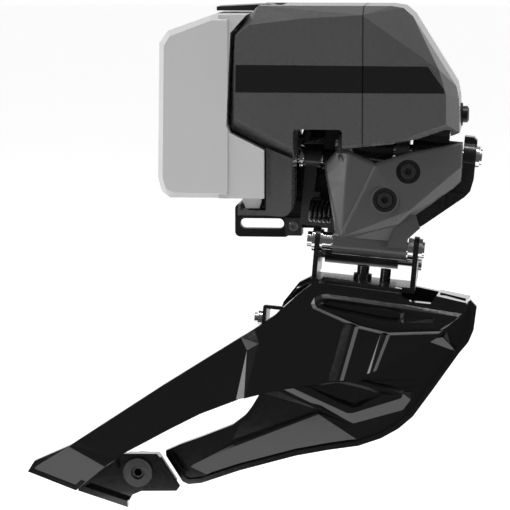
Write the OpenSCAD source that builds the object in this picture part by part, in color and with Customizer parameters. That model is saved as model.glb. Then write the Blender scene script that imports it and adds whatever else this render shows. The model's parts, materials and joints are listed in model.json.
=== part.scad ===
// Wireless front derailleur, braze-on type, for a road bicycle.
// Frame: origin at the mouth of the hanger bolt's thread on the concave mount pad.
// +X is forward, +Y points inboard to the seat tube, +Z is up, so -Y is outboard.

/* [Linkage] */
// Lean of all four pivot axes, nose down
tilt = 5; // [0:0.5:10]
// Distance between the two pivots of each link
link_length = 21.9; // [18:0.1:28]
// Outboard distance of the outer link's pivots
outer_y = -25; // [-30:0.5:-20]
// Height of the outer link's upper pivot
outer_top = 12.4; // [10:0.1:16]
// Outboard distance of the inner link's pivots
inner_y = -13; // [-18:0.5:-10]
// Height of the inner link's upper pivot
inner_top = 7.8; // [5:0.1:10]
// Radius of the pivot pins
pin_r = 1.5; // [1:0.1:2]
// Radius of the inner link's pins
thin_r = 1.25; // [1:0.05:1.6]
// Radius of the pin heads
head_r = 2.6; // [2:0.1:3]
// Radial running clearance in the pivots
run = 0.05; // [0.02:0.01:0.1]

/* [Mount] */
// Wall radius of the hanger bolt's thread
thread_r = 2.1; // [2:0.05:2.5]
// Depth of the thread
thread_len = 7; // [5:0.5:8]
// Radius of the hanger's convex face
pad_radius = 15; // [12:0.5:18]
// Half height of the mount pad
pad_half = 8; // [6:0.5:10]

/* [Housing] */
// Outboard face
case_front = -34; // [-36:0.5:-30]
// Inboard face
case_back = -8; // [-12:0.5:-6]
// Wall thickness
wall = 1.6; // [1:0.1:2.5]
// Fore and aft place of the joint between the shells
split_x = 9.9; // [5:0.1:15]
// Thickness of the seal in that joint
seal = 0.3; // [0.2:0.05:0.6]

/* [Battery] */
// Gap between the battery and what holds it
bat_gap = 0.35; // [0.2:0.05:0.6]
// Inboard face
bat_back = -3; // [-6:0.5:-2]

/* [Cage] */
// Sheet thickness
sheet = 1.2; // [0.8:0.1:1.6]
// Outboard face of the outer plate
cage_out = -31.9; // [-33:0.1:-30]
// Inboard face of the inner plate
cage_in = -15.4; // [-17:0.1:-14]
// Top of the carrier's floor
deck = -17.7; // [-19:0.1:-17]

/* [Gears] */
// Module
mod = 0.6; // [0.5:0.05:0.8]
// Full-circle teeth of the sector on the outer link
sector_teeth = 48; // [40:1:54]
// Teeth of both pinions
pinion_teeth = 8; // [8:1:10]
// Teeth of the large gear on the shaft
gear_teeth = 24; // [20:1:28]

/* [Hidden] */
outer_bot = outer_top - link_length;
inner_bot = inner_top - link_length;
floor_top = 18.4;
tail_in = 1.2;
floor_bot = 17;
shaft_y = outer_y + 1.5;
shaft_w = outer_top + sqrt(pow(mod*(sector_teeth + pinion_teeth)/2, 2) - 1.5*1.5);
motor_y = shaft_y + 7.5;
motor_w = shaft_w + sqrt(pow(mod*(gear_teeth + pinion_teeth)/2, 2) - 7.5*7.5);
low_u = 14.7;  low_w = 1.5;
high_u = 19.3; high_w = 8.3;
$fn = 32;

// ---------- helpers ----------
module lean() rotate([0, tilt, 0]) children();
// round bar along the pivot axes
module bar(u0, u1, y, w, r, f = 40)
  translate([u0, y, w]) rotate([0, 90, 0]) cylinder(h = u1 - u0, r = r, $fn = f);
// round bar along Y
module post(x, z, y0, y1, r, f = 40)
  translate([x, y1, z]) rotate([90, 0, 0]) cylinder(h = y1 - y0, r = r, $fn = f);
// round bar along the leaning vertical
module stud(u, y, w0, w1, r, f = 32)
  translate([u, y, w0]) cylinder(h = w1 - w0, r = r, $fn = f);
// upright slab between two Y planes, outline in X and Z
module slab(y0, y1) translate([0, y1, 0]) rotate([90, 0, 0]) linear_extrude(y1 - y0) children();
// slab across the pivot axes, outline in Y and W
module cross(u0, u1) translate([u0, 0, 0]) rotate([90, 0, 90]) linear_extrude(u1 - u0) children();
module box(a, b) translate(a) cube([b[0]-a[0], b[1]-a[1], b[2]-a[2]]);
module dot(u, y, w, r = 1) translate([u, y, w]) sphere(r = r, $fn = 12);
// spur gear outline, straight flanks, one tooth centred on angle ph
module gear2d(z, ph, part = 360) {
  p = 360/z; rt = mod*(z/2 + 0.85); rp = mod*z/2; rr = mod*(z/2 - 1.2);
  n = floor(part/p/2);
  half = part >= 360 ? [for (i = [0:z-1]) i*p] : [for (i = [-n:n]) i*p];
  for (a = half) rotate(ph + a) polygon([
    [0.6*rr, 0.6*rr*sin(0.3*p)], [rr*cos(0.3*p), rr*sin(0.3*p)], [rp*cos(0.2*p), rp*sin(0.2*p)],
    [rt*cos(0.085*p), rt*sin(0.085*p)], [rt*cos(0.085*p), -rt*sin(0.085*p)],
    [rp*cos(0.2*p), -rp*sin(0.2*p)], [rr*cos(0.3*p), -rr*sin(0.3*p)], [0.6*rr, -0.6*rr*sin(0.3*p)]]);
  if (part >= 360) circle(r = rr + 0.02, $fn = 2*z);
}

// ---------- housing ----------
module case2d() polygon([[-13.5,43.1],[16,43.1],[18.6,42.7],[20.7,40.9],[28.8,27.3],[30.4,25.5],
  [31,22.6],[31.2,15.2],[29.8,14.6],[13.7,11.3],[6.4,11.1],[-5.6,9.3],[-12.8,12.2],
  [-19.3,15.4],[-19.9,16.7],[-18.7,37.4]]);
module notch2d() offset(r = 0.8) offset(delta = -0.8) polygon([[-5.5,5],[5.4,5],[5.4,16],[-5.5,16]]);
// flat outboard face, inside the sloping facets
module face2d() polygon([[-18.3,36.4],[-15,39.0],[-3.6,40.4],[9.7,41.2],[14.9,37.3],[21.5,32.8],[26.6,29.4],
  [28.2,24],[28.3,17.4],[17.5,13.6],[6.4,12.6],[-5.6,11.9],[-12.3,17.3],[-18.5,18.6]]);
module case_solid() hull() {
  slab(case_front + 4.2, case_back - 1.2) case2d();
  slab(case_front, case_front + 0.4) face2d();
  slab(case_back - 0.2, case_back) offset(delta = -1.2) case2d();
}
module stripe2d() polygon([[-21,24.1],[28.4,24.1],[24.2,30],[-21,30.2]]);
module screw_places() for (p = [[-12.4,32.6],[21.5,33.3],[-9.5,19.5],[26.5,22.5]])
  translate([p[0], 0, p[1]]) children();
module case_shell() difference() {
  case_solid();
  // hollow
  difference() {
    hull() {
      slab(case_front + 5.2, case_back - wall) offset(delta = -wall) case2d();
      slab(case_front + wall, case_front + 2) offset(delta = -wall) face2d();
    }
    slab(case_front, case_back) offset(delta = wall) notch2d();
    screw_places() post(0, 0, case_back - 8, case_back, 2.3, 24);
    // walls of the latch pocket
    box([-17, -26.5, 35.3], [-7.1, -9.5, 50]);
  }
  // finger notch over the inner link
  slab(case_front - 1, case_back + 1) notch2d();
  // open underside, left as a skirt on the outboard side
  lean() box([-6.2, case_front + wall, -5], [27.8, case_back + 1, floor_top + 0.02]);
  // latch pocket
  box([-15.4, -25, 36.8], [-8.6, -11, 50]);
  screw_places() { post(0, 0, case_back - 6.5, case_back + 1, 1.0, 20);
    post(0, 0, case_back - 1.0, case_back + 1, 2.0, 24); }
  // latch pin and the inner link's pin head
  translate([-12, -26.6, 41.4]) rotate([-90, 0, 0]) cylinder(h = 17.2, r = 0.82, $fn = 32);
  lean() bar(-8.4, 0, inner_y, inner_top, 3.3, 40);
  // stripe recess
  slab(case_front - 1, case_front + 0.3) intersection() { stripe2d(); offset(delta = -0.2) face2d(); }
  // contact block window
  box([-25, -26, 20.5], [-17, -14, 33.5]);
  // button bore
  translate([26, -14, 18.2]) rotate([0, 90, 0]) cylinder(h = 10, r = 2.6, $fn = 36);
  // lens bore
  post(13, 22, case_back - 4, case_back + 1, 1.0, 20);
}
module rear_shell() color("#4a4a4c") intersection() {
  case_shell(); box([-60, -60, -20], [split_x - seal/2, 20, 80]); }
module front_shell() color("#4a4a4c") intersection() {
  case_shell(); box([split_x + seal/2, -60, -20], [80, 20, 80]); }
module shell_seal() color("#151515") intersection() {
  difference() { case_solid();
    hull() { slab(case_front + 5.2, case_back - wall) offset(delta = -wall) case2d();
      slab(case_front + wall, case_front + 2) offset(delta = -wall) face2d(); }
    lean() box([-6.2, case_front + wall, -5], [27.8, case_back + 1, floor_top + 0.02]);
    slab(case_front - 1, case_front + 0.3) stripe2d(); }
  box([split_x - seal/2, -60, -20], [split_x + seal/2, 20, 80]); }
module shell_screws() color("#2b2b2b") screw_places() difference() {
  union() { post(0, 0, case_back - 6.2, case_back - 0.9, 0.95, 20);
    post(0, 0, case_back - 0.98, case_back - 0.1, 1.9, 24); }
  post(0, 0, case_back - 0.7, case_back + 1, 0.7, 6); }
module stripe_part() intersection() {
  slab(case_front - 0.02, case_front + 0.3) intersection() { stripe2d(); offset(delta = -0.2) face2d(); }
  children(); }
module rear_stripe() color("#1e1e20") stripe_part() box([-60, -60, 0], [split_x - 0.15, 20, 80]);
module front_stripe() color("#1e1e20") stripe_part() box([split_x + 0.15, -60, 0], [80, 20, 80]);
module button_seat() color("#101010") difference() {
  translate([29.4, -14, 18.2]) rotate([0, 90, 0]) cylinder(h = 2.1, r = 2.58, $fn = 36);
  translate([28, -14, 18.2]) rotate([0, 90, 0]) cylinder(h = 6, r = 1.96, $fn = 36); }
module function_button() color("#202022") translate([28.4, -14, 18.2]) rotate([0, 90, 0]) {
  cylinder(h = 4.2, r = 1.9, $fn = 36); translate([0, 0, 4.1]) cylinder(h = 0.4, r1 = 1.9, r2 = 1.4, $fn = 36); }
module status_lens() color("#d8d8d8") post(13, 22, case_back - 3.4, case_back, 0.97, 20);

// ---------- fixed structure under the housing ----------
module mount_bracket() color("#303032") difference() {
  union() {
    lean() {
      // floor of the housing
      box([-5.2, case_front + 2.2, floor_bot], [27.6, case_back - 0.4, floor_top]);
      // barrels and webs of the outer link
      for (s = [[6.6, 15.4], [19.6, 30.6]]) {
        bar(s[0], s[1], outer_y, outer_top, 3.1);
        box([s[0], outer_y - 1.6, outer_top], [min(s[1], 27.6), outer_y + 1.6, floor_bot + 0.5]);
      }
      // barrel and webs of the inner link
      bar(-0.8, 15.6, inner_y, inner_top, 2.6);
      box([-0.8, inner_y - 1.3, inner_top], [15.6, inner_y + 1.3, floor_bot + 0.5]);
      box([2, inner_y, inner_top - 0.9], [11.3, -4.2, inner_top + 1.9]);
      // rear stiffener
      box([-5.0, -20, floor_bot - 5], [-3.9, -3.6, floor_bot + 0.5]);
    }
    // upright wall
    box([-8.4, -6, -9], [12, -3, 12]);
    hull() { box([-5.9, -7.7, 10.6], [11.7, -3.3, 11.8]); lean() box([-5, -11.2, floor_bot + 0.2], [12, -8.7, floor_bot + 0.6]); }
    // pad
    box([-7, -4, -pad_half], [7, 1.55, pad_half]);
    // blind end of the thread
    post(0, 0, -8.4, -3, 3.8, 36);
    // ledges beside the tray
    box([-8.2, -7.4, -3.6], [-4.2, -5.5, -2.6]);
    box([-8.2, -7.4, -1.2], [-4.2, -5.5, -0.4]);
  }
  // concave face and thread
  translate([0, pad_radius, -20]) cylinder(h = 40, r = pad_radius, $fn = 96);
  post(0, 0, -thread_len, 6, thread_r, 48);
  post(-7.5, -8.6, -9, 0, 1.6, 32);
  // pivot bores
  lean() {
    bar(0, 40, outer_y, outer_top, pin_r + run, 48);
    bar(-4, 20, inner_y, inner_top, thin_r + run, 48);
    // sector slot
    box([15.5, outer_y - 5.4, floor_bot - 3], [19.5, outer_y + 6.6, floor_top + 1]);
  }
}
module battery_tray() color("#454547") difference() {
  union() {
    hull() { box([-11.6, -32, -0.5], [-8.4, -3, 13.6]); box([-9, -32, -0.5], [-5.9, -17.2, 10.6]);
      box([-9, -32, -0.5], [-7.2, -3, -0.4]);
      translate([-8, -32, -1.6]) rotate([-90, 0, 0]) cylinder(h = 14.8, r = 2.0, $fn = 32);
      box([-11.6, -32, -3.4], [-9, -3, -1]); }
    // shelf with its lip
    box([-17.9, -32, -3.4], [-9, -3, -2.3]);
    box([-17.9, -32, -3.4], [-17.3, -3, -0.9]);
  }
  // leave the shells, the pin head and the bracket clear
  lean() bar(-9, 0, inner_y, inner_top, 3.3, 40);
  shell_trim();
  box([-8.4, -9.6, -12], [0, 0, 20]);
}
// the housing's outline, used to trim the tray against the shells
module shell_trim() slab(case_front - 1, case_back + 0.02) case2d();
module support_plate() color("#111111") difference() {
  slab(-5.9, -3.4) offset(r = 1.2) offset(delta = -1.2)
    polygon([[-21.2,-3.5],[-8.45,-3.5],[-8.45,-11.2],[-21.2,-11.2]]);
  hull() { post(-18.8, -8.1, -8, 0, 1.2, 32); post(-11, -8.1, -8, 0, 1.2, 32); }
  post(-7.5, -8.6, -9, 0, 1.3, 32);
}
module support_block() color("#3b3b3d") difference() {
  union() { box([-9.4, -7.4, -10.7], [-5.6, -6, -6.6]);
    box([-8.4, -6.1, -10.7], [-5.6, -2.2, -9.02]); }
  post(-7.5, -8.6, -9, 0, 1.18, 32);
}
module support_screw() color("#b9b9b4") difference() {
  union() { post(-7.5, -8.6, -7.3, -2.6, 1.12, 32); post(-7.5, -8.6, -2.7, -1.4, 0.8, 24); }
  post(-7.5, -8.6, -8, -6.2, 0.6, 6); }

// ---------- drive inside the housing ----------
module gearbox_frame() color("#6b6f72") lean() difference() {
  union() {
    cross(10.7, 11.6) hull() { translate([motor_y, motor_w]) circle(r = 4.3); translate([shaft_y, shaft_w]) circle(r = 3);
      translate([-26, floor_top]) square([14, 1]); }
    cross(20.2, 21.2) hull() { translate([shaft_y, shaft_w]) circle(r = 2.4); translate([-26, floor_top]) square([5, 1]); }
  }
  bar(5, 40, shaft_y, shaft_w, 1.05, 32);
  bar(5, 25, motor_y, motor_w, 1.6, 32);
}
module motor() color("#9aa0a4") lean() {
  difference() { union() { bar(-4, 10.68, motor_y, motor_w, 4.3, 48); bar(-5, -4, motor_y, motor_w, 3, 32); }
    bar(8.5, 12, motor_y, motor_w, 0.85, 24); } }
module motor_pinion() color("#c9a64a") lean() {
  bar(9, 15.2, motor_y, motor_w, 0.8, 24);
  cross(12.2, 15) translate([motor_y, motor_w]) gear2d(pinion_teeth,
    180 + atan2(motor_w - shaft_w, motor_y - shaft_y) + 180/pinion_teeth); }
module gear_shaft() color("#c9a64a") lean() {
  bar(10.2, 21.6, shaft_y, shaft_w, 1.0, 32);
  cross(12.4, 14.8) translate([shaft_y, shaft_w]) gear2d(gear_teeth,
    atan2(motor_w - shaft_w, motor_y - shaft_y));
  cross(14.7, 19.4) translate([shaft_y, shaft_w]) gear2d(pinion_teeth,
    180 + atan2(shaft_w - outer_top, shaft_y - outer_y) + 180/pinion_teeth); }
module drive_sector() color("#8b8f92") lean() difference() {
  union() {
    a0 = atan2(shaft_w - outer_top, shaft_y - outer_y);
    cross(16, 19) translate([outer_y, outer_top]) {
      gear2d(sector_teeth, a0, 34);
      circle(r = 4.2, $fn = 40);
      intersection() { circle(r = mod*(sector_teeth/2 - 1.2) + 0.02, $fn = 96);
        rotate(a0) polygon([[0,-2.4],[16,-4.4],[16,4.4],[0,2.4]]); } }
  }
  bar(10, 25, outer_y, outer_top, pin_r + 0.02, 48); }
module circuit_board() color("#1d4d2b") {
  slab(-31.9, -30.9) offset(r = 1) offset(delta = -1) polygon([[-14,20.5],[8,19.5],[8,33],[-12,33]]);
  box([-10, -30.92, 24], [-3, -29.2, 30]); box([0, -30.92, 22], [5, -29.6, 26]); }
module contact_block() color("#19191b") difference() {
  union() { box([-19.2, -25.9, 20.6], [-15.5, -14.1, 33.4]); }
  for (i = [0:3]) translate([-22, -23.6 + i*2.4, 27]) rotate([0, 90, 0]) cylinder(h = 8, r = 0.62, $fn = 20); }
module contact_pins() color("#d9b45a") for (i = [0:3])
  translate([-19.9, -23.6 + i*2.4, 27]) rotate([0, 90, 0]) { cylinder(h = 5, r = 0.6, $fn = 20); }

// ---------- battery ----------
module battery2d() polygon([[-35.7,5],[-34.9,1.9],[-33,0.5],[-11.95,0.5],[-11.95,11.2],[-12.9,11.75],
  [-19.6,15.0],[-20.3,16.6],[-19.4,37.2],[-15.8,41.2],[-23.6,41.1],[-33.4,37.6],[-35.3,34.9]]);
module battery() color("#b9b9bb") difference() {
  union() {
    hull() { slab(case_front + 1.6, bat_back - 1.2) shrink_left(0); slab(case_front, bat_back) shrink_left(1.2); }
    intersection() { slab(case_front + 0.4, bat_back - 0.4) battery2d(); box([-22, -60, -5], [0, 20, 60]); }
    // foot that hooks behind the shelf's lip
    hull() { box([-16.9, -31, -0.4], [-12.7, -4, 0.8]); box([-16.2, -31, -1.9], [-13.2, -4, -0.4]); }
  }
  slab(case_front - 1, bat_back + 1) offset(delta = 0.0) polygon([[-11.95,0.4],[-11.95,11.2],
    [-12.9,11.75],[-19.6,15],[-20.3,16.6],[-19.4,37.2],[-15.8,41.2],[-15.8,50],[10,50],[10,0.4]]);
  // recess for the contact pads
  box([-21.4, -24.9, 24.5], [-19, -15.1, 29.5]);
}
module shrink_left(d) polygon([[-35.7+d,5],[-34.9+d,1.9+d/2],[-33+d,0.5+d],[-20,0.5+d],[-20,41.2-d],
  [-23.6,41.1-d],[-33.4+d/2,37.6-d],[-35.3+d,34.9-d/2]]);
module battery_contacts() color("#d9b45a") for (i = [0:3])
  box([-21.4, -24.3 + i*2.4, 25], [-20.6, -22.9 + i*2.4, 29]);
module battery_latch() color("#262628") difference() {
  union() {
    hull() { box([-23.6, -22.5, 41.7], [-22.6, -13.5, 42.6]); box([-14, -22.5, 41.7], [-12, -13.5, 43.1]); }
    translate([-12, -22.5, 41.4]) rotate([-90, 0, 0]) cylinder(h = 9, r = 1.8, $fn = 36);
  }
  translate([-12, -30, 41.4]) rotate([-90, 0, 0]) cylinder(h = 30, r = 0.85, $fn = 32); }
module latch_pin() color("#c8c8c8") translate([-12, -26.4, 41.4]) rotate([-90, 0, 0])
  cylinder(h = 16.8, r = 0.8, $fn = 32);

// ---------- outer link ----------
module link_panel() {
  // broad outboard panel
  hull() { dot(12.2,-30.5,8.6); dot(19.2,-30.5,11.6); dot(30.1,-30.5,15.0,0.7); dot(30.4,-30.5,10.4,0.7);
    dot(20.2,-29.5,-0.2); dot(17.6,-28.4,-3.2); dot(5.9,-26.6,-7.6); }
  // rear facet folding away
  hull() { dot(12.0,-30.4,8.6,0.8); dot(5.9,-26.6,-7.6,0.9); dot(5.2,-26.2,-7.6); dot(5.3,-27,0.6);
    dot(1.8,-27.2,5.9); dot(1.5,-27.2,7.8); dot(3.4,-28.2,10.4); dot(5.8,-29.2,10.6); }
  // sloping band under the panel's front edge
  hull() { dot(30.4,-30.2,10.0,0.7); dot(20.4,-29.3,-0.4,0.8); dot(30.4,-28.9,7.4,0.7);
    dot(29.3,-28.8,6.0,0.7); dot(21.4,-28.2,-0.9,0.7); }
}
module outer_link() color("#454547") lean() difference() {
  union() {
    link_panel();
    // underside wall down to the lower barrel
    hull() { dot(5.6,-26.4,-7.4); dot(17.6,-27.6,-3.4); dot(19.4,-26,-8.4); dot(6,-26,-9); }
    bar(3.8, 20.4, outer_y, outer_bot, 2.75, 48);
    slab(-28.6, -24) polygon([[16,-9.2],[20.3,-9.2],[20.5,-7],[23.0,-4.3],[21.6,-0.9],[18,-2]]);
    // rear knuckle
    hull() { bar(3.0, 6.3, outer_y, outer_top - 0.6, 3.0, 32); dot(4.2,-29,9.8,0.9); dot(5.6,-28.4,8.4,0.9); }
    // bosses of the limit screws
    post(low_u, low_w, -30.9, -26, 3.2, 36);
    post(high_u, high_w, -30.9, -28.2, 3.2, 36);
    // spring post
    bar(-2.2, 6, -21.2, -3.4, 1.5, 24);
    hull() { bar(3.4, 6, -21.2, -3.4, 2.0, 24); dot(6,-26.8,-2,0.9); }
  }
  bar(0, 40, outer_y, outer_top, pin_r + 0.02, 48);
  bar(0, 30, outer_y, outer_bot, pin_r + run, 48);
  // room for the bracket's barrels and the sector's hub
  bar(6.35, 30.85, outer_y, outer_top, 3.42, 48);
  bar(15.8, 19.2, outer_y, outer_top, 4.5, 48);
  post(low_u, low_w, -40, -29.9, 2.7, 36);
  post(high_u, high_w, -40, -30.0, 2.7, 36);
  post(low_u, low_w, -30, -20, 1.56, 32);
  post(high_u, high_w, -30.1, -20, 1.56, 32);
}
// dark front arm behind the panel, carrying the front bearing of the link
module link_arm() color("#1a1a1b") lean() difference() {
  union() {
    slab(-28.3, -22) polygon([[33.8,11],[33.8,7.6],[33.3,5.0],[32.2,3.6],[23.6,-3.6],[23.0,-4.0],
      [20.8,-1.0],[26,3],[30.9,8.8],[30.9,11]]);
    bar(30.9, 33.8, outer_y, outer_top, 3.4, 48);
    slab(-26.6, -22.4) polygon([[30.9,10],[33.8,10],[33.8,16.2],[33.0,16.9],[30.9,16.9]]);
    box([27.0, -29.0, 0.8], [27.9, -28.2, 5.0]);
    box([28.4, -28.9, 3.6], [32.0, -28.2, 4.4]);
  }
  bar(0, 40, outer_y, outer_top, pin_r + 0.02, 48);
  bar(6.35, 30.9, outer_y, outer_top, 3.42, 48);
  link_panel();
  slab(-28.6, -24) polygon([[16,-9.2],[20.3,-9.2],[20.5,-7],[23.0,-4.3],[21.6,-0.9],[18,-2]]);
}
module limit_screw(u, w, y1) lean() difference() {
  union() { post(u, w, -31.0, -30.0, 1.72, 32); post(u, w, -30.1, y1, 1.5, 32); }
  post(u, w, -33, -29.4, 0.85, 6); }
module low_limit_screw() color("#8d8d8f") intersection() {
  limit_screw(low_u, low_w, -25.4); box([-50,-29.85-2,-50],[50,0,50]); }
module high_limit_screw() color("#8d8d8f") limit_screw(high_u, high_w, -28.4);
module upper_outer_pin() color("#e0e0e0") lean() {
  bar(2.4, 34.1, outer_y, outer_top, pin_r, 48);
  bar(33.82, 34.6, outer_y, outer_top, head_r, 48);
  bar(34.5, 35.15, outer_y, outer_top, 2.0, 48); }
module limit_washers() color("#0c0c0c") lean() for (p = [[low_u, low_w, -29.92], [high_u, high_w, -30.02]])
  difference() { post(p[0], p[1], -30.7, p[2], 2.64, 36); post(p[0], p[1], -31, -29, 2.05, 36); }
module backlash_spring() color("#0e0e0e") lean() translate([0, -21.2, -3.4]) rotate([0, 90, 0]) {
  for (i = [0:4]) translate([0, 0, -1.9 + i*1.02]) rotate_extrude($fn = 32) translate([2.12, 0]) circle(r = 0.5, $fn = 12);
  difference() { translate([0, 0, -1.9]) cylinder(h = 4.1, r = 1.95, $fn = 32);
    translate([0, 0, -3]) cylinder(h = 8, r = 1.53, $fn = 32); } }

// ---------- inner link ----------
module inner_link() color("#58585a") lean() difference() {
  union() {
    bar(-5.2, -1.25, inner_y, inner_top, 2.3, 40);
    box([-4.8, inner_y - 1.3, -7.7], [-2.2, inner_y + 1.3, inner_top]);
    bar(16.0, 18.4, inner_y, inner_top, 2.3, 40);
    box([16.0, inner_y - 1.3, -7.7], [18.4, inner_y + 1.3, inner_top]);
    box([-4.8, inner_y - 1.3, -7.7], [18.4, inner_y + 1.3, -2.6]);
    box([1.6, inner_y - 1.3, inner_bot], [5, inner_y + 1.3, -7.5]);
    box([15, inner_y - 1.3, inner_bot], [18.4, inner_y + 1.3, -7.5]);
    bar(1.6, 18.4, inner_y, inner_bot, 1.85, 40);
    // stepped lugs on the rear arm
    for (i = [0:3]) box([-2.6, inner_y - 2.6, -1.0 - i*1.6], [-0.9 + 0.5*i, inner_y + 0.6, 0.2 - i*1.6]);
  }
  bar(-10, 30, inner_y, inner_top, thin_r + 0.02, 48);
  bar(-10, 30, inner_y, inner_bot, thin_r + run, 48);
}
module upper_inner_pin() color("#e0e0e0") lean() {
  bar(-6.2, 18.9, inner_y, inner_top, thin_r, 48);
  bar(-6.1, -5.35, inner_y, inner_top, head_r, 48);
  bar(-7.2, -6.0, inner_y, inner_top, 1.7, 40);
  bar(18.6, 19.4, inner_y, inner_top, 2.2, 40); }

// ---------- cage carrier ----------
module ear2d() union() {
  hull() { translate([outer_y, outer_bot]) circle(r = 2.9, $fn = 40); translate([outer_y - 2.3, deck - 1]) square([4, 1]); }
  hull() { translate([inner_y, inner_bot]) circle(r = 2.3, $fn = 40); translate([inner_y - 4, deck]) square([6, 0.7]); }
  hull() { translate([outer_y + 1, outer_bot]) circle(r = 1.9, $fn = 24); translate([inner_y, inner_bot]) circle(r = 1.9, $fn = 24);
    translate([outer_y - 2.3, deck]) square([14, 0.7]); }
  translate([outer_y - 2.3, deck - 1]) square([cage_in - 2.2 - outer_y + 2.3, 1.2]); }
module cage_carrier() color("#3d3d3f") lean() difference() {
  union() {
    cross(-0.2, 0.9) ear2d();
    cross(21.95, 23.1) ear2d();
    box([-0.2, cage_out + 2.4, deck - sheet], [23.1, cage_in - 2.2, deck]);
    box([0.9, cage_out + 2.4, deck - 3.2], [20, cage_out + 3.6, deck]);
  }
  bar(-5, 30, outer_y, outer_bot, pin_r + 0.02, 48);
  bar(-5, 30, inner_y, inner_bot, thin_r + 0.02, 48);
  stud(10.9, -20.5, deck - 5, deck + 1, 1.42);
  stud(16, -20.5, deck - 5, deck + 1, 1.22);
}
module lower_outer_pin() color("#e0e0e0") lean() {
  bar(-1.0, 23.6, outer_y, outer_bot, pin_r, 48);
  bar(-0.85, -0.22, outer_y, outer_bot, head_r, 48);
  bar(-2.0, -0.8, outer_y, outer_bot, 1.75, 40);
  bar(23.12, 23.9, outer_y, outer_bot, head_r, 48);
  bar(23.8, 24.4, outer_y, outer_bot, 1.9, 40); }
module lower_inner_pin() color("#e0e0e0") lean() {
  bar(-0.6, 23.6, inner_y, inner_bot, thin_r, 48);
  bar(-0.9, -0.22, inner_y, inner_bot, 2.2, 40);
  bar(23.12, 23.8, inner_y, inner_bot, 2.2, 40); }
module pivot_sleeve() color("#d6d6d6") lean() difference() {
  union() { bar(0.95, 3.5, outer_y, outer_bot, 2.0, 40); bar(0.95, 1.5, outer_y, outer_bot, 2.5, 40); }
  bar(-5, 30, outer_y, outer_bot, pin_r + 0.02, 48); }
module pivot_washer() color("#d6d6d6") lean() difference() {
  bar(20.72, 21.9, outer_y, outer_bot, 2.5, 40); bar(-5, 30, outer_y, outer_bot, pin_r + 0.02, 48); }
module carrier_screws() color("#707072") lean() {
  stud(10.9, -20.5, deck - sheet - 0.5, -14.9, 1.4);
  stud(10.9, -20.5, deck + 0.01, deck + 1.0, 2.1);
  stud(16, -20.5, deck - sheet - 0.5, -15.2, 1.2); }

// ---------- cage ----------
module outer_main2d() polygon([[2.4,-17.1],[20.3,-17.8],[20.4,-19.6],[22.7,-20.5],[27,-20.5],[28.2,-18.6],
  [34.9,-19.5],[35,-21.5],[34.3,-22.9],[29.7,-27.6],[24.5,-31.3],[19.3,-34.7],[15.6,-37.7],[12.6,-39.6],
  [6.5,-40.4],[-6,-43.7],[-12.6,-46.1],[-10.2,-33.4],[-11.7,-30.1],[-7.7,-26.9],[-3.1,-21.9],[0.4,-18.6]]);
module outer_tail2d() polygon([[-14.2,-32.1],[-31.3,-45.2],[-50.2,-60.3],[-40.3,-63.1],[-39.7,-62.3],
  [-34.3,-58.7],[-29.1,-55.2],[-22.2,-50.8],[-14.0,-46.7],[-12.5,-35.2]]);
module tip2d() polygon([[-50.9,-60.9],[-42.3,-64.6],[-46.1,-68],[-49,-71.4],[-60.4,-68.2],[-59.1,-65.6]]);
module rim2d(d) difference() { children(); offset(delta = -d) children(); }
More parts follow.
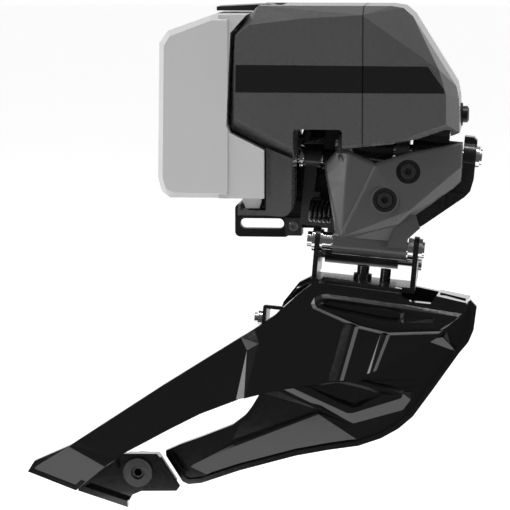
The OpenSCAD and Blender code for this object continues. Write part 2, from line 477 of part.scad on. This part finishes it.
// thin plate corner of the outer cage plate, h above the cage's outboard plane
module leaf(h) slab(cage_out - h, cage_out - h + sheet) children();
module pocket2d() polygon([[2.2,-23.0],[3.2,-21.8],[5.0,-21.5],[20.2,-22.3],[21.3,-22.9],[21.4,-25.3],[16.4,-25.2],
  [8.7,-24.4],[3.4,-23.8]]);
module groove2d() polygon([[4.4,-24.5],[8.7,-25.1],[16.4,-26.1],[22.4,-26.3],[30.2,-25.9],[32.4,-24.4],
  [30.2,-26.3],[18.2,-27.5],[11.7,-26.7],[8.4,-25.8]]);
module outer_cage_plate() color("#1a1a1b") lean() difference() {
  union() {
    leaf(0) outer_main2d();
    leaf(-tail_in) outer_tail2d();
    // two bright folds where the tail steps inboard
    hull() { leaf(0) polygon([[-11.7,-30.1],[-10.2,-33.4],[-9.8,-33.4],[-11.2,-29.9]]);
      leaf(-tail_in) polygon([[-14.2,-32.1],[-12.5,-35.2],[-12.9,-35.4],[-14.6,-32.5]]); }
    hull() { leaf(-0.03) polygon([[-10.3,-33.0],[-12.6,-46.0],[-12.1,-45.8],[-9.6,-33.1]]);
      leaf(-tail_in - 0.03) polygon([[-12.5,-34.8],[-14.0,-46.5],[-14.5,-46.7],[-13.0,-35.1]]); }
    // tip, stepped outboard and leaning
    hull() { leaf(-tail_in) polygon([[-50.2,-60.3],[-40.3,-63.2],[-40.6,-62.8],[-49.8,-60.0]]);
      leaf(-tail_in + 0.47) polygon([[-50.8,-60.8],[-42.1,-64.4],[-42.9,-65.3],[-51.7,-61.5]]); }
    hull() { leaf(-tail_in + 0.5) polygon([[-50.9,-60.9],[-42.3,-64.6],[-42.8,-65.1],[-51.4,-61.3]]);
      leaf(-tail_in - 0.6) polygon([[-48.6,-70.9],[-49,-71.4],[-60.4,-68.2],[-59.1,-65.6]]); }
    // rolled edges
    slab(cage_out + 0.3, cage_out + 2.4) rim2d(1.0) outer_main2d();
    slab(cage_out + tail_in + 0.2, cage_out + tail_in + 2.2) rim2d(1.0) outer_tail2d();
    slab(cage_out + tail_in + 0.2, cage_out + tail_in + 2.2) rim2d(1.0) tip2d();
    // bead along the top edge
    hull() { slab(cage_out - 0.01, cage_out + 0.3) polygon([[2.4,-17.1],[20.3,-17.8],[20.3,-18.9],[1.6,-18.2]]);
      slab(cage_out - 0.45, cage_out) polygon([[2.6,-17.4],[20.0,-18.1],[20.0,-18.5],[2.2,-17.8]]); }
    // long swelling round the pocket
    hull() { slab(cage_out - 0.01, cage_out + 0.3) polygon([[0.5,-23.1],[1.1,-21.7],[2.6,-20.8],[4.4,-20.6],
        [20.1,-21.2],[28.9,-22.4],[34.1,-22.0],[33.6,-23.0],[29.4,-27.0],[18.3,-28.5],[11.4,-27.6],[1.1,-24.2]]);
      slab(cage_out - 0.65, cage_out) polygon([[1.4,-23.0],[2.0,-22.1],[3.0,-21.6],[4.6,-21.4],[20.1,-22.0],
        [28.7,-23.1],[33.4,-22.7],[32.8,-23.5],[29.0,-26.4],[18.3,-27.8],[11.6,-26.9],[2.0,-23.8]]); }
    // broad and narrow fold running down the plate
    hull() { slab(cage_out - 0.01, cage_out + 0.3) polygon([[8.3,-26.6],[11.6,-27.4],[9.3,-39.7],[5.9,-40.1]]);
      slab(cage_out - 0.55, cage_out) polygon([[10.0,-27.0],[10.8,-27.2],[8.5,-39.7],[7.8,-39.8]]); }
    hull() { slab(cage_out - 0.01, cage_out + 0.3) polygon([[16.6,-28.2],[18.7,-28.4],[16.4,-36.7],[14.4,-37.6]]);
      slab(cage_out - 0.4, cage_out) polygon([[17.3,-28.3],[18.0,-28.4],[15.7,-36.9],[15.0,-37.3]]); }
  }
  hull() { slab(cage_out - 1.2, cage_out - 0.66) pocket2d(); slab(cage_out, cage_out + 0.45) offset(delta = -0.8) pocket2d(); }
  slab(cage_out - 1.2, cage_out - 0.22) groove2d();
  // facet ahead of the pocket
  hull() { slab(cage_out - 1.2, cage_out - 0.64) polygon([[21.7,-22.6],[28.2,-23.4],[27.9,-24.6],[21.7,-25.2]]);
    slab(cage_out - 1.2, cage_out - 0.05) polygon([[21.7,-22.6],[28.0,-23.4],[27.9,-23.6],[21.7,-22.9]]); }
}
module inner2d() polygon([[0.7,-17.9],[-3.5,-20.5],[-6.7,-25.4],[-8.5,-32],[-9.6,-40],[-10.3,-47.2],
  [-11.9,-50.5],[-13.1,-52.4],[-15.9,-55],[-22.9,-58.6],[-27.5,-60.8],[-30.8,-62.7],[-30.6,-63.9],
  [-26.3,-69.5],[-24.9,-70],[-21.9,-69.4],[-13.3,-65.5],[-0.7,-60.7],[6.5,-58.6],[13.4,-56.9],
  [18.4,-54.6],[22.1,-52],[25.1,-48.9],[28.9,-42.5],[34.2,-33.2],[36.1,-30.4],[37,-27.5],[37.2,-22.1],
  [35.2,-20.3],[23,-18.9],[20,-18.2]]);
module inset2d() polygon([[-2.7,-44.7],[7.2,-42.1],[12.7,-42.8],[20.8,-44.3],[11.2,-48.4]]);
module inner_cage_plate() color("#232324") lean() {
  front = cage_in - sheet;
  difference() {
    union() {
      slab(front, cage_in) inner2d();
      // chevron shaped swelling
      hull() { slab(front - 0.01, front + 0.2) polygon([[-8.2,-44.6],[11.7,-52.0],[22.7,-47.7],[24.3,-45.1],
          [24.2,-43.2],[13.5,-41.5],[7.0,-40.7]]);
        slab(front - 0.9, front) polygon([[-5.5,-44.2],[-3,-44],[7.1,-41.3],[13.6,-42.1],[22.4,-43.8],
          [22.1,-44.9],[11.3,-49.5],[10.1,-49.6]]); }
    }
    hull() { slab(front - 1.5, front - 0.9) inset2d(); slab(front, front + 0.5) offset(delta = -0.9) inset2d(); }
    // leaning panel below it, outlined by a groove
    hull() { slab(front - 0.3, front + 0.02) polygon([[-11.5,-46.8],[-6.5,-46.2],[3.2,-49.6],[-15.7,-59.1]]);
      slab(front - 0.3, front + 0.4) polygon([[3.0,-49.8],[3.2,-49.6],[-15.7,-59.1],[-15.6,-58.7]]); }
  }
  slab(cage_in - 2.2, cage_in - 0.3) rim2d(1.1) inner2d();
  slab(front - 0.4, front + 0.1) rim2d(0.5) polygon([[15.3,-41.6],[24.8,-40.7],[25.0,-42.9],[15.5,-43.8]]);
  // lower band, leaning towards the ground
  hull() { slab(front - 0.75, front - 0.6) polygon([[-15.4,-59.6],[3.3,-50.2],[3.6,-50.6],[-15.0,-60.1]]);
    slab(front - 0.01, front + 0.2) polygon([[-15.7,-59.3],[3.2,-49.9],[11.5,-52.4],[12.8,-55.6],[6.2,-57.3],
      [-1,-59.4],[-13.6,-64.2],[-20.6,-67.6],[-25,-66]]); }
  hull() { slab(front - 0.01, front + 0.2) polygon([[25.9,-31],[31,-28.2],[33.6,-33]]);
    slab(front - 1.1, front - 1.0) polygon([[30.2,-29.9],[30.5,-29.7],[30.4,-30.1]]); }
  // deep flange round the rear top corner
  slab(cage_in - 7.5, front + 0.1)
    polygon([[0.4,-19.2],[-3.6,-21.3],[-5.2,-23.9],[-4.5,-24.4],[-2.9,-22.2],[0.9,-20.4]]);
  // floor flange to the carrier
  box([1.4, front - 1.4, deck - sheet - 1.4], [21.8, front + 0.1, deck - sheet - 0.02]);
}
module cage_bridge() color("#1a1a1b") lean() {
  hull() { slab(cage_out + 2.42, cage_out + 2.6) polygon([[27.7,-20.2],[28.2,-18.8],[34.5,-19.8],[34.6,-21.2]]);
    slab(cage_in - 2.4, cage_in - 2.22) polygon([[28.4,-20.2],[28.6,-19.0],[35.6,-19.7],[35.6,-21]]); }
  // stiffening ridge
  hull() { slab(-25.4, -25.2) polygon([[28.6,-19.2],[28.9,-18.6],[34.6,-19.4],[34.8,-20]]);
    slab(-21.2, -21) polygon([[28.7,-19.2],[29.0,-18.6],[35.0,-19.4],[35.2,-20]]); }
  slab(cage_out + 2.42, cage_out + 3.5) polygon([[28.4,-22.8],[33.2,-22.8],[33.6,-20],[28.4,-19.4]]);
  slab(cage_in - 3.3, cage_in - 2.22) polygon([[29.8,-22.8],[35.0,-22.8],[35.2,-20.4],[29.4,-20]]);
}
module skid_pads() color("#0c0c0c") lean() {
  slab(cage_in - 2.1, cage_in - sheet - 0.02) polygon([[3,-22],[19,-22.5],[20,-26.5],[6,-36],[1,-35]]);
  slab(cage_out + sheet + 0.02, cage_out + sheet + 0.9) polygon([[2,-22],[18,-23.5],[26,-26],[16,-33],[6,-36],[-2,-36]]); }
module rear_bracket() color("#2a2a2b") lean() {
  for (u = [-10.3, -6.4]) hull() {
    slab(-29.4, -29) polygon([[u,-30.2],[u+0.8,-30.2],[u+0.8,-25.0],[u,-25.0]]);
    slab(cage_in - 2.6, cage_in - 2.2) polygon([[u,-30.2],[u+0.8,-30.2],[u+0.8,-26.6],[u,-26.6]]); }
  hull() {
    slab(-29.4, -29) polygon([[-10.3,-25.6],[-10.3,-25.1],[-10.0,-24.8],[-5.6,-24.8],[-5.6,-25.6]]);
    slab(cage_in - 2.6, cage_in - 2.2) polygon([[-10.3,-27.2],[-10.3,-26.4],[-5.6,-26.4],[-5.6,-27.2]]); }
}
module rear_rivet() color("#e0e0e0") lean() {
  bar(-11.4, -10.32, -26.5, -28.2, 1.6, 32); bar(-12.2, -11.3, -26.5, -28.2, 1.1, 24);
  bar(-5.58, -4.9, -26.5, -28.2, 1.5, 32); }
module spacer2d() polygon([[-48.6,-68.4],[-46,-67.6],[-39.6,-62.7],[-31.8,-61.9],[-30.9,-62.8],
  [-26,-69],[-26.6,-70],[-34.6,-70.9],[-36.6,-72],[-37.3,-73.6],[-48.6,-71.4]]);
module tail_spacer() color("#303031") lean() difference() {
  union() {
    slab(-24.6, cage_in - sheet - 1.0) offset(delta = -1.1) spacer2d();
    slab(-26, -24.5) spacer2d();
    // outboard leg to the outer plate
    slab(cage_out + tail_in + 2.22, -25.9) polygon([[-50.4,-66],[-46.4,-67.9],[-41,-63.7],[-40,-66],[-48.4,-71.2],[-50.4,-70.6]]);
    // floor of the tail
    slab(-28.6, -25.9) polygon([[-48.8,-70.4],[-37.3,-73],[-37.1,-74.4],[-48.8,-71.8]]);
  }
  post(-35.7, -66.5, -40, 0, 1.7, 40);
}
module cage_screw() color("#161616") lean() difference() {
  union() { post(-35.7, -66.5, -27.2, -26.02, 3.3, 48); post(-35.7, -66.5, -26.1, -13.9, 1.65, 40); }
  post(-35.7, -66.5, -28, -22, 1.0, 6);
  translate([-35.7, -27.3, -66.5]) rotate([-90, 0, 0]) cylinder(h = 0.8, r1 = 1.6, r2 = 1.2, $fn = 36); }
module cage_nut() color("#8a8a8a") lean() difference() {
  post(-35.7, -66.5, cage_in - sheet - 0.96, -14.2, 2.9, 6);
  post(-35.7, -66.5, -30, 0, 1.7, 40); }

// ---------- build ----------
rear_shell();
front_shell();
shell_seal();
shell_screws();
rear_stripe();
front_stripe();
mount_bracket();
battery_tray();
support_plate();
support_block();
support_screw();
gearbox_frame();
motor();
motor_pinion();
gear_shaft();
circuit_board();
contact_block();
contact_pins();
status_lens();
button_seat();
function_button();
battery();
battery_contacts();
battery_latch();
latch_pin();
outer_link();
link_arm();
limit_washers();
drive_sector();
upper_outer_pin();
high_limit_screw();
low_limit_screw();
backlash_spring();
inner_link();
upper_inner_pin();
cage_carrier();
lower_outer_pin();
lower_inner_pin();
pivot_sleeve();
pivot_washer();
carrier_screws();
outer_cage_plate();
inner_cage_plate();
cage_bridge();
skid_pads();
rear_bracket();
rear_rivet();
tail_spacer();
cage_screw();
cage_nut();
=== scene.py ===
import json
import math

import bpy
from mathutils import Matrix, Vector


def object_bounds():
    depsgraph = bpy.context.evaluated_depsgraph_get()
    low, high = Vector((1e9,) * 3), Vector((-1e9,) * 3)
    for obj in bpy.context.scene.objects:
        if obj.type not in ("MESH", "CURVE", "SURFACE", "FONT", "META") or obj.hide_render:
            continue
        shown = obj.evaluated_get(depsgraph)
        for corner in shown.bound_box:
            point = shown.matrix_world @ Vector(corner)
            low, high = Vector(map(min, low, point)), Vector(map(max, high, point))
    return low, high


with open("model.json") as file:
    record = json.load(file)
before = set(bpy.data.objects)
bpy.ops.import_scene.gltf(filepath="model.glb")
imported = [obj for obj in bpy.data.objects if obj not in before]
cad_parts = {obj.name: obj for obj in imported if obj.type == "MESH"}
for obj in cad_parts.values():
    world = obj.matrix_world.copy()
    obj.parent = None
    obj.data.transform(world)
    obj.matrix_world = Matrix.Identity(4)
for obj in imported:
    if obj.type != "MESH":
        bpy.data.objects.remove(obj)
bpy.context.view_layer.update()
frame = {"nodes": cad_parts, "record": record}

MM = 0.001
nodes = frame["nodes"]


# ---------------------------------------------------------------- materials
def noise(tree, vector, scale, detail):
    n = tree.nodes.new("ShaderNodeTexNoise")
    n.inputs["Scale"].default_value = scale
    n.inputs["Detail"].default_value = detail
    tree.links.new(vector, n.inputs["Vector"])
    return n.outputs["Fac"]


def two_tones(tree, value, base, vary):
    """The base colour, a little darker and lighter in soft patches."""
    ramp = tree.nodes.new("ShaderNodeValToRGB")
    dark, light = ramp.color_ramp.elements
    dark.position = 0.3
    light.position = 0.7
    dark.color = (*[c * (1 - vary) for c in base], 1)
    light.color = (*[min(1, c * (1 + vary)) for c in base], 1)
    tree.links.new(value, ramp.inputs["Fac"])
    return ramp.outputs["Color"]


def material(name, base, rough, metal=0.0, spec=0.5, vary=0.12, grain=0.0, grain_scale=900,
             bump=0.0, coat=0.0, coat_rough=0.05, stretch=None):
    """One surface: patches of tone, and a fine grain in its roughness and, with bump, its relief."""
    patch_scale, patch_detail, grain_detail = 45.0, 4.0, 3.0
    rough_spread = 0.06 + grain
    relief_m = 0.0002
    m = bpy.data.materials.new(name)
    m.use_nodes = True
    tree = m.node_tree
    shader = tree.nodes["Principled BSDF"]
    shader.inputs["Metallic"].default_value = metal
    shader.inputs["Specular IOR Level"].default_value = spec
    shader.inputs["Coat Weight"].default_value = coat
    shader.inputs["Coat Roughness"].default_value = coat_rough

    place = tree.nodes.new("ShaderNodeTexCoord").outputs["Object"]
    patches = noise(tree, place, patch_scale, patch_detail)
    tree.links.new(two_tones(tree, patches, base, vary), shader.inputs["Base Color"])
    if stretch:
        mapping = tree.nodes.new("ShaderNodeMapping")
        mapping.inputs["Scale"].default_value = stretch
        tree.links.new(place, mapping.inputs["Vector"])
        place = mapping.outputs["Vector"]
    grains = noise(tree, place, grain_scale, grain_detail)

    spread = tree.nodes.new("ShaderNodeMapRange")
    spread.inputs["To Min"].default_value = max(0.02, rough - rough_spread)
    spread.inputs["To Max"].default_value = min(1.0, rough + rough_spread)
    tree.links.new(grains, spread.inputs["Value"])
    tree.links.new(spread.outputs["Result"], shader.inputs["Roughness"])
    if bump:
        relief = tree.nodes.new("ShaderNodeBump")
        relief.inputs["Strength"].default_value = bump
        relief.inputs["Distance"].default_value = relief_m
        tree.links.new(grains, relief.inputs["Height"])
        tree.links.new(relief.outputs["Normal"], shader.inputs["Normal"])
    return m


def painted(name, base, rough):
    """Satin grey paint of the housing and the outer link."""
    return material(name, base, rough, spec=0.55, vary=0.04, grain=0.02, grain_scale=700, bump=0.008)


# slot name: material
materials = {
    "case_grey": painted("case_grey", (0.082, 0.082, 0.084), 0.27),
    "link_grey": painted("link_grey", (0.080, 0.080, 0.082), 0.24),
    "stripe_dark": material("stripe_dark", (0.010, 0.010, 0.0105), 0.22,
                            vary=0.08, grain=0.03, grain_scale=2400, bump=0.03),
    "battery_grey": material("battery_grey", (0.56, 0.56, 0.565), 0.5, spec=0.35,
                             vary=0.02, grain=0.03, grain_scale=1600, bump=0.04),
    "bracket_dark": material("bracket_dark", (0.008, 0.008, 0.0085), 0.26,
                             grain=0.04, grain_scale=1200, bump=0.04),
    "plate_black": material("plate_black", (0.004, 0.004, 0.004), 0.5, spec=0.3,
                            grain=0.03, grain_scale=1500, bump=0.05),
    "block_grey": material("block_grey", (0.028, 0.028, 0.029), 0.6, spec=0.4,
                           vary=0.3, grain=0.1, grain_scale=2600, bump=0.5),
    "cage_black": material("cage_black", (0.0045, 0.0045, 0.0048), 0.13, spec=0.55,
                           vary=0.1, grain=0.01, coat=0.5, coat_rough=0.04),
    "pin_steel": material("pin_steel", (0.80, 0.79, 0.77), 0.14, metal=1.0,
                          vary=0.03, grain=0.02, grain_scale=1200),
    "steel": material("steel", (0.42, 0.42, 0.41), 0.3, metal=1.0,
                      vary=0.05, grain=0.05, grain_scale=1600, bump=0.1),
    "screw_black": material("screw_black", (0.10, 0.10, 0.10), 0.24, metal=0.85,
                            grain=0.03, grain_scale=1200),
    "rubber_black": material("rubber_black", (0.006, 0.006, 0.006), 0.6, spec=0.35,
                             grain=0.05, grain_scale=1800, bump=0.1),
    "plastic_black": material("plastic_black", (0.007, 0.007, 0.0072), 0.36, spec=0.45,
                              grain=0.04, grain_scale=1500, bump=0.05),
    "brass": material("brass", (0.72, 0.50, 0.20), 0.25, metal=1.0,
                      vary=0.06, grain=0.03, grain_scale=1200),
    "board_green": material("board_green", (0.01, 0.09, 0.035), 0.3,
                            vary=0.3, grain=0.03, grain_scale=800),
    "lens": material("lens", (0.6, 0.6, 0.62), 0.15, vary=0.03, grain=0.01),
    "motor_can": material("motor_can", (0.55, 0.55, 0.56), 0.28, metal=1.0,
                          vary=0.04, grain=0.04, bump=0.05, stretch=(1, 30, 30)),
}


def dress(obj, slot_name):
    obj.data.materials.clear()
    obj.data.materials.append(materials[slot_name])


slots = {part["node"]: part["material_slot"] for part in frame["record"]["subparts"]}
for node_name, obj in nodes.items():
    dress(obj, slots[node_name])


# ---------------------------------------------------------------- shading
smooth_nodes = [
    "rear_shell", "front_shell", "battery", "battery_tray", "battery_latch",
    "mount_bracket", "support_plate", "support_block", "function_button", "button_seat",
    "outer_link", "link_arm", "inner_link", "high_limit_screw", "low_limit_screw",
    "upper_outer_pin", "lower_outer_pin", "upper_inner_pin", "lower_inner_pin",
    "cage_carrier", "carrier_screws", "pivot_sleeve", "pivot_washer",
    "outer_cage_plate", "inner_cage_plate", "cage_bridge", "skid_pads",
    "rear_bracket", "rear_rivet", "tail_spacer", "cage_screw",
]


def smooth(obj):
    """Smooth shading, with normals weighted by the area of the faces. Edges stay as in the CAD."""
    for face in obj.data.polygons:
        face.use_smooth = True
    normals = obj.modifiers.new("normals", "WEIGHTED_NORMAL")
    normals.keep_sharp = False


for node_name in smooth_nodes:
    smooth(nodes[node_name])


# ---------------------------------------------------------------- floor
# It starts a little in front of the part, so that the flat plates don't mirror it.
lo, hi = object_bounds()
mid = (lo + hi) / 2
FLOOR_SIDE = 4.0
FLOOR_IN_FRONT = 0.10
FLOOR_BELOW = 0.02
FLOOR_GLOW = 0.55
bpy.ops.mesh.primitive_plane_add(
    size=FLOOR_SIDE,
    location=(mid.x, lo.y - FLOOR_IN_FRONT + FLOOR_SIDE / 2, lo.z - FLOOR_BELOW))
floor = bpy.context.object
floor.name = "floor"
pale = material("floor_pale", (0.86, 0.86, 0.86), 0.7, spec=0.2, vary=0.01, grain_scale=200)
pale_shader = pale.node_tree.nodes["Principled BSDF"]
pale_shader.inputs["Emission Color"].default_value = (1, 1, 1, 1)
pale_shader.inputs["Emission Strength"].default_value = FLOOR_GLOW
floor.data.materials.append(pale)


# ---------------------------------------------------------------- surroundings
# What the part mirrors is dark on the viewer's side (-Y) and white behind it (+Y), with a grey
# ceiling. What the camera itself sees round the part is plain white from every side.
def grey(level, blue=None):
    """An opaque grey, with its blue set apart where it is given."""
    return (level, level, level if blue is None else blue, 1)


def map_range(tree, value, low, high):
    m = tree.nodes.new("ShaderNodeMapRange")
    m.inputs["From Min"].default_value = low
    m.inputs["From Max"].default_value = high
    tree.links.new(value, m.inputs["Value"])
    return m.outputs["Result"]


def mix_colour(tree, factor, first, second):
    """Blends from a linked colour to a fixed one. The numbers are the Mix node's colour sockets."""
    colour_a, colour_b, colour_out = 6, 7, 2
    m = tree.nodes.new("ShaderNodeMix")
    m.data_type = "RGBA"
    tree.links.new(factor, m.inputs["Factor"])
    tree.links.new(first, m.inputs[colour_a])
    m.inputs[colour_b].default_value = second
    return m.outputs[colour_out]


world = bpy.data.worlds.new("studio")
bpy.context.scene.world = world
world.use_nodes = True
sky = world.node_tree
background = sky.nodes["Background"]
background.inputs["Strength"].default_value = 1.0
direction = sky.nodes.new("ShaderNodeSeparateXYZ")
sky.links.new(sky.nodes.new("ShaderNodeTexCoord").outputs["Generated"], direction.inputs["Vector"])

depth_ramp = sky.nodes.new("ShaderNodeValToRGB")
towards_viewer, towards_back = depth_ramp.color_ramp.elements
towards_viewer.position = 0.10
towards_viewer.color = grey(0.09, 0.092)
towards_back.position = 0.62
towards_back.color = grey(1.06)
between = depth_ramp.color_ramp.elements.new(0.36)
between.color = grey(0.16, 0.163)
sky.links.new(map_range(sky, direction.outputs["Y"], -1.0, 1.0), depth_ramp.inputs["Fac"])

ceiling = map_range(sky, direction.outputs["Z"], 0.45, 0.85)
mirrored = mix_colour(sky, ceiling, depth_ramp.outputs["Color"], grey(0.30))
seen_by_camera = sky.nodes.new("ShaderNodeLightPath").outputs["Is Camera Ray"]
sky.links.new(mix_colour(sky, seen_by_camera, mirrored, grey(1)), background.inputs["Color"])
bpy.context.scene.view_settings.view_transform = "Standard"


# ---------------------------------------------------------------- lights
def area(name, offset, width, height, power):
    """A rectangular light at an offset from the part's middle, in metres, turned to face it."""
    data = bpy.data.lights.new(name, "AREA")
    data.energy = power
    data.shape = "RECTANGLE"
    data.size = width
    data.size_y = height
    light = bpy.data.objects.new(name, data)
    bpy.context.scene.collection.objects.link(light)
    place = mid + Vector(offset)
    light.location = place
    light.rotation_mode = "QUATERNION"
    light.rotation_quaternion = (mid - place).to_track_quat("-Z", "Y")


area("key", (-0.46, -0.52, 0.10), width=0.07, height=0.7, power=1.3)
area("left", (-0.60, -0.12, 0.10), width=0.25, height=0.7, power=1.9)
area("top", (0.05, -0.16, 0.60), width=0.50, height=0.07, power=2.2)
area("side", (0.60, -0.28, 0.10), width=0.08, height=0.5, power=1.0)


# ---------------------------------------------------------------- camera
AZIMUTH = math.radians(5.5)
ELEVATION = math.radians(7.0)
LENS_MM = 200.0
SENSOR_MM = 36.0
VIEW_WIDTH = 115.9 * MM
aim = Vector((-15.2, -20.0, -13.75)) * MM
towards_camera = Vector((
    math.sin(AZIMUTH) * math.cos(ELEVATION),
    -math.cos(AZIMUTH) * math.cos(ELEVATION),
    math.sin(ELEVATION)))
camera_data = bpy.data.cameras.new("camera")
camera_data.lens = LENS_MM
camera_data.sensor_width = SENSOR_MM
camera_data.clip_start = 0.01
camera_data.clip_end = 20
camera = bpy.data.objects.new("camera", camera_data)
bpy.context.scene.collection.objects.link(camera)
camera.location = aim + towards_camera * (VIEW_WIDTH / SENSOR_MM * LENS_MM)
camera.rotation_mode = "QUATERNION"
camera.rotation_quaternion = (-towards_camera).to_track_quat("-Z", "Y")
bpy.context.scene.camera = camera
